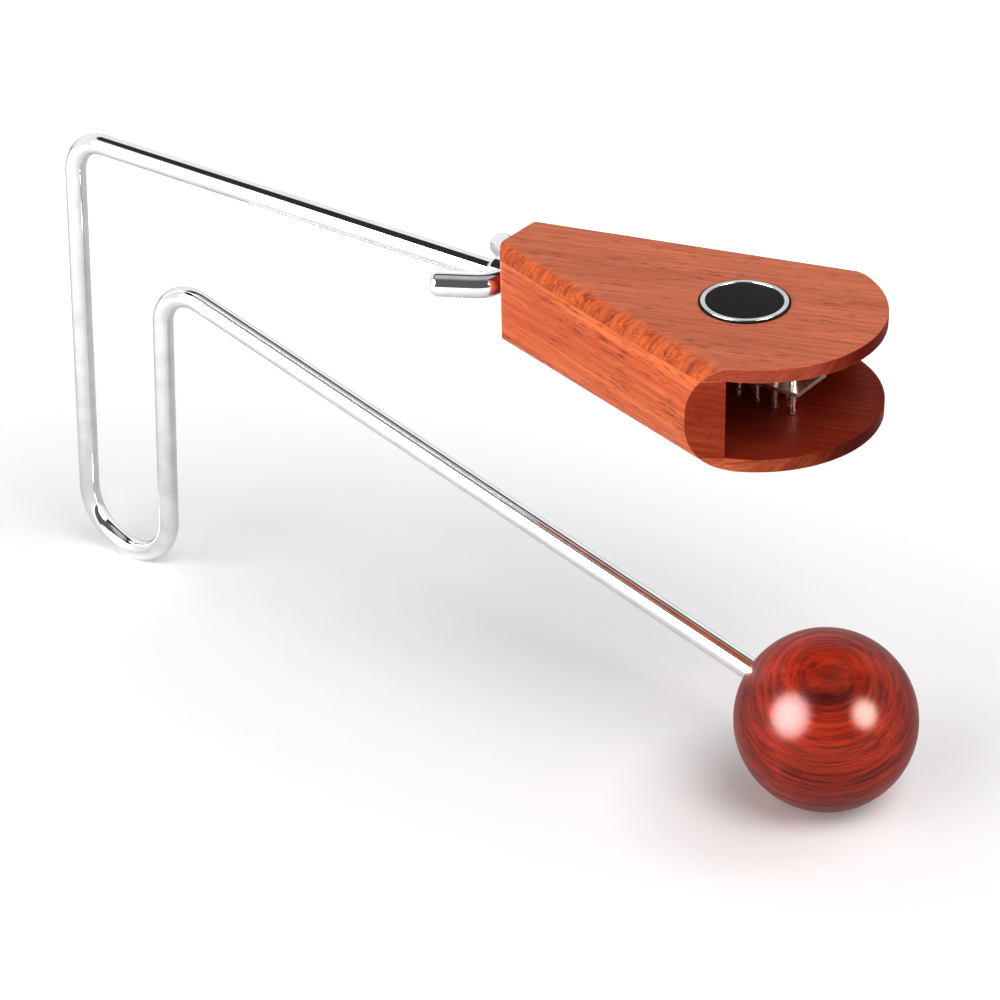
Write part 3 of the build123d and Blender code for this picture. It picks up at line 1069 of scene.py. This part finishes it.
class VIBRASLAP_OT_stage(Operator):
    """Set the pale floor, soft lamps, white surround and camera"""

    bl_idname = "vibraslap.stage"
    bl_label = "Stage"

    def execute(self, context):
        settings = context.scene.vibraslap
        self.lay_floor(settings)
        self.light(context.scene)
        self.aim_camera(context.scene, settings.stage)
        context.scene.view_settings.view_transform = "Standard"
        return {"FINISHED"}

    def lay_floor(self, settings):
        rod, stage = settings.rod, settings.stage
        handle = Vector((-math.sin(rod.lean), 0, -math.cos(rod.lean))) * (rod.outer_leg / 2)
        handle += Vector((math.cos(rod.lean), 0, -math.sin(rod.lean))) * rod.handle_radius
        handle_reach = rod.handle_radius + rod.diameter / 2
        apart = BALL_CENTRE - handle
        fall = math.asin((BALL_RADIUS - handle_reach) / math.hypot(apart.x, apart.z))
        slope = math.atan2(apart.z, apart.x) - fall
        up = Vector((-math.sin(slope), 0, math.cos(slope)))
        foot = BALL_CENTRE - up * BALL_RADIUS
        mesh = bmesh.new()
        bmesh.ops.create_grid(mesh, x_segments=1, y_segments=1, size=stage.floor_width / 2)
        lie = Matrix.Translation(foot) @ Matrix.Rotation(-slope, 4, "Y")
        bmesh.ops.transform(mesh, matrix=lie, verts=mesh.verts)
        data = bpy.data.meshes.new("floor")
        mesh.to_mesh(data)
        mesh.free()
        floor = bpy.data.objects.new("floor", data)
        bpy.context.scene.collection.objects.link(floor)
        data.materials.append(self.pale_finish(stage, foot))

    def pale_finish(self, stage, foot):
        """A pale floor that glows far from the object; its glow is weaker round the object's shadow and held
        back under the ball, painted shadow over the lamps' own shadow, and in mirrors it glows more towards
        the front, a painted reflection.
        """
        finish, tree, shader, place = new_finish("Pale floor")
        cloud = noise(tree, place, (FLOOR_CLOUD,) * 3, detail=2.0)
        paler = opaque([part * FLOOR_PALER for part in stage.floor])
        tree.links.new(mixed(tree, cloud, opaque(stage.floor), paler), shader.inputs["Base Color"])
        shader.inputs["Roughness"].default_value = FLOOR_ROUGHNESS
        shader.inputs["Specular IOR Level"].default_value = 0.0
        shader.inputs["Emission Color"].default_value = WHITE
        rays = node(tree, "ShaderNodeLightPath").outputs
        # In mirrors alone the floor glows more towards the front: painted reflection on the polished metal
        mirrored = spread(
            tree, component(tree, place, "Y"), PAINTED_REFLECTION_BACK_TO_FRONT, (0.0, PAINTED_REFLECTION_LIFT)
        )
        seen = sum_of(tree, rays["Is Camera Ray"], rays["Is Glossy Ray"], mirrored)
        # Weaker glow round the middle of the object's shadow: painted shadow
        stretched = node(
            tree,
            "ShaderNodeMapping",
            {"Vector": place, "Location": stage.shadow_centre, "Scale": (stage.shadow_stretch, 1.0, 1.0)},
            vector_type="TEXTURE",
        )
        apart = measured(tree, "LENGTH", stretched.outputs["Vector"])
        glow = spread(tree, apart, (stage.near, stage.far), (stage.lift_near, stage.lift_far))
        # The glow is held back round the ball's foot: painted contact shadow
        gap = measured(tree, "DISTANCE", place, foot + Vector(stage.contact_shift))
        painted_contact_shadow = spread(tree, gap, (stage.contact_start, stage.contact_end))
        lift = product(tree, seen, product(tree, glow, painted_contact_shadow))
        tree.links.new(lift, shader.inputs["Emission Strength"])
        return finish

    def light(self, scene):
        add_lamp("Left softbox", LEFT_LIGHT, width=2.3, depth=2.3, power=26.0)
        add_lamp("Right softbox", RIGHT_LIGHT, width=0.9, depth=1.2, power=2.5)
        add_lamp("Overhead softbox", OVERHEAD_LIGHT, width=1.3, depth=1.3, power=24.0)
        world = bpy.data.worlds.new("Studio")
        scene.world = world
        world.use_nodes = True
        tree = world.node_tree
        backdrop = tree.nodes["Background"]
        seen, mirrored = seen_rays(tree)
        heading = node(tree, "ShaderNodeTexCoord").outputs["Generated"]
        room = self.grey_bands(tree, component(tree, heading, "Z"), ROOM_BANDS)
        for direction, edge, tone in (
            (FRONT_SIDE, FRONT_EDGE, FRONT_GREY),
            (LEFT_LIGHT, LEFT_GLOW_EDGE, LEFT_GLOW),
            (RIGHT_LIGHT, RIGHT_GLOW_EDGE, RIGHT_GLOW),
        ):
            towards = measured(tree, "DOT_PRODUCT", heading, Vector(direction).normalized())
            room = mixed(tree, spread(tree, towards, edge), room, tone)
        tree.links.new(mixed(tree, mirrored, WHITE, room), backdrop.inputs["Color"])
        tree.links.new(spread(tree, seen, WHOLE, (ROOM_LIGHT, 1.0)), backdrop.inputs["Strength"])

    def grey_bands(self, tree, height, levels):
        """Greys that change with height."""
        bands = node(tree, "ShaderNodeValToRGB", {"Fac": height})
        ramp = bands.color_ramp
        for element, (place, level) in zip(ramp.elements, levels):
            element.position = place
            element.color = (level, level, level, 1)
        for place, level in levels[2:]:
            ramp.elements.new(place).color = (level, level, level, 1)
        return bands.outputs["Color"]

    def aim_camera(self, scene, stage):
        right = Vector((math.cos(stage.azimuth), math.sin(stage.azimuth), 0))
        back = Vector(
            (
                math.sin(stage.azimuth) * math.cos(stage.elevation),
                -math.cos(stage.azimuth) * math.cos(stage.elevation),
                math.sin(stage.elevation),
            )
        )
        level = Matrix((right, back.cross(right), back)).transposed()
        data = bpy.data.cameras.new("Camera")
        data.lens = stage.lens
        data.sensor_width = SENSOR_WIDTH
        data.clip_start = CLIP_START
        data.clip_end = CLIP_END
        camera = bpy.data.objects.new("Camera", data)
        camera.location = Vector(stage.target) + back * stage.distance
        camera.rotation_euler = (level @ Matrix.Rotation(stage.roll, 3, "Z")).to_euler()
        scene.collection.objects.link(camera)
        scene.camera = camera


PIECES = (
    VIBRASLAP_OT_rod,
    VIBRASLAP_OT_ball,
    VIBRASLAP_OT_plates,
    VIBRASLAP_OT_walls,
    VIBRASLAP_OT_badge,
    VIBRASLAP_OT_rattle,
    VIBRASLAP_OT_wing_nut,
    VIBRASLAP_OT_fastenings,
    VIBRASLAP_OT_stage,
)


class VIBRASLAP_PT_sidebar(Panel):
    """Lists the vibraslap's pieces and their settings"""

    bl_idname = "VIBRASLAP_PT_sidebar"
    bl_label = "Vibraslap"
    bl_space_type = "VIEW_3D"
    bl_region_type = "UI"
    bl_category = "Vibraslap"

    def draw(self, context):
        for piece in PIECES:
            self.layout.operator(piece.bl_idname)
        for group, kind in SETTINGS.items():
            column = self.layout.column(heading=group.capitalize())
            for name in kind.__annotations__:
                column.prop(getattr(context.scene.vibraslap, group), name)


CLASSES = (*SETTINGS.values(), VibraslapSettings, *PIECES, VIBRASLAP_PT_sidebar)


def register():
    for kind in CLASSES:
        bpy.utils.register_class(kind)
    bpy.types.Scene.vibraslap = PointerProperty(type=VibraslapSettings)


def unregister():
    del bpy.types.Scene.vibraslap
    for kind in reversed(CLASSES):
        bpy.utils.unregister_class(kind)


def main():
    register()
    bpy.ops.vibraslap.rod()
    bpy.ops.vibraslap.ball()
    bpy.ops.vibraslap.plates()
    bpy.ops.vibraslap.walls()
    bpy.ops.vibraslap.badge()
    bpy.ops.vibraslap.rattle()
    bpy.ops.vibraslap.wing_nut()
    bpy.ops.vibraslap.fastenings()
    bpy.ops.vibraslap.stage()


if __name__ == "__main__":
    main()
